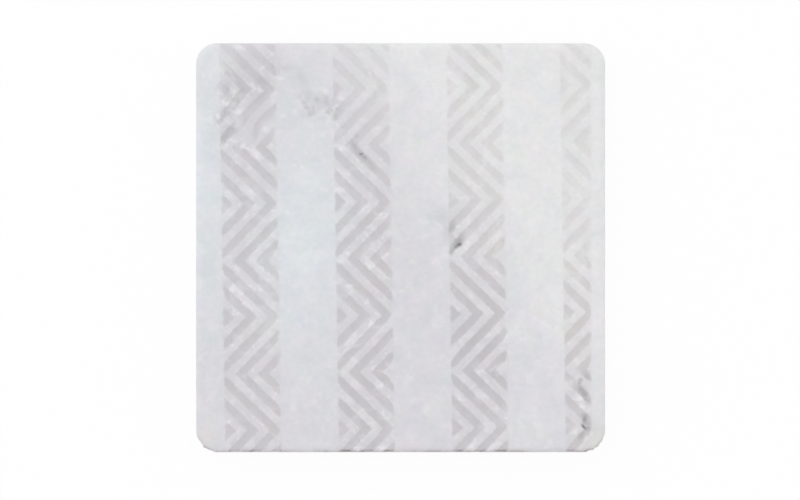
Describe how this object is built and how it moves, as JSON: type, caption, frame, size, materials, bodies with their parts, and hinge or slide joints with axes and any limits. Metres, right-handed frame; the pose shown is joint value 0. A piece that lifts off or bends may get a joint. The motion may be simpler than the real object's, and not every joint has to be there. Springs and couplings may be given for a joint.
{
  "type": "decorative marble tile",
  "caption": "Square tile of tumbled white marble with rounded corners and edges, its face etched with upright bands of nested zigzag lines.",
  "frame": {"origin": "centre of the underside, the face that is bedded in adhesive", "axes": "+Z out of the decorated face; +Y towards the top of the pattern as pictured; +X towards the cut-off band"},
  "size_m": [0.1, 0.1, 0.01],
  "materials": {
    "marble": "honed white marble with faint grey veins, worn matt edges and a matt grey etched pattern"
  },
  "bodies": {
    "root": {"marble_tile": "marble"}
  },
  "joints": []
}
